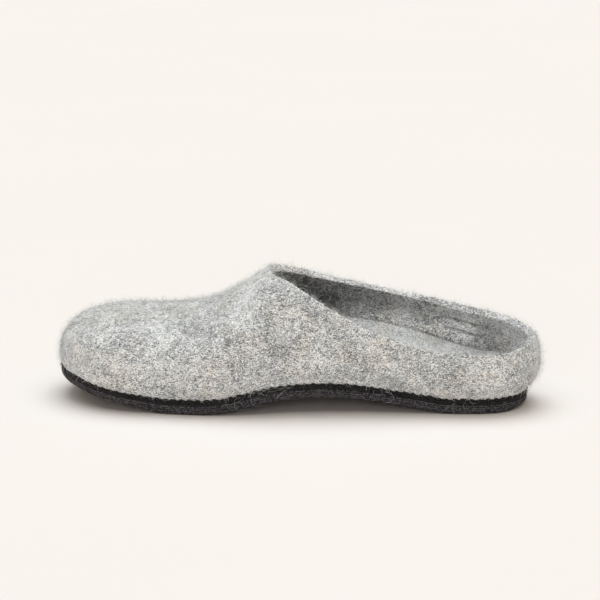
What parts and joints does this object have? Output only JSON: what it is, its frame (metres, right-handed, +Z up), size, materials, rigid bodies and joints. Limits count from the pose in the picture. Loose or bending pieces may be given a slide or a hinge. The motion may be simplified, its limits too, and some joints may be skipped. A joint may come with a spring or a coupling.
{
  "type": "felt slipper",
  "caption": "Left felt slipper, an open-backed mule with a thick seamless wool felt body, a loose felt insole and a thin rubber sole.",
  "frame": {"origin": "on the floor, under the middle of the shoe's bounding box", "axes": "+Z up, -X towards the toe, -Y towards the outer (little toe) side, +Y towards the inner (arch) side"},
  "size_m": [0.26, 0.0969, 0.0705],
  "materials": {
    "wool_felt": "matt light grey wool felt with a soft nap",
    "insole_felt": "matt grey pressed wool felt",
    "black_felt": "matt black felt, sewn through at its edge",
    "sole_rubber": "matt dark grey rubber"
  },
  "bodies": {
    "root": {"upper": "wool_felt", "insole": "insole_felt", "midsole": "black_felt", "outsole": "sole_rubber"}
  },
  "joints": []
}
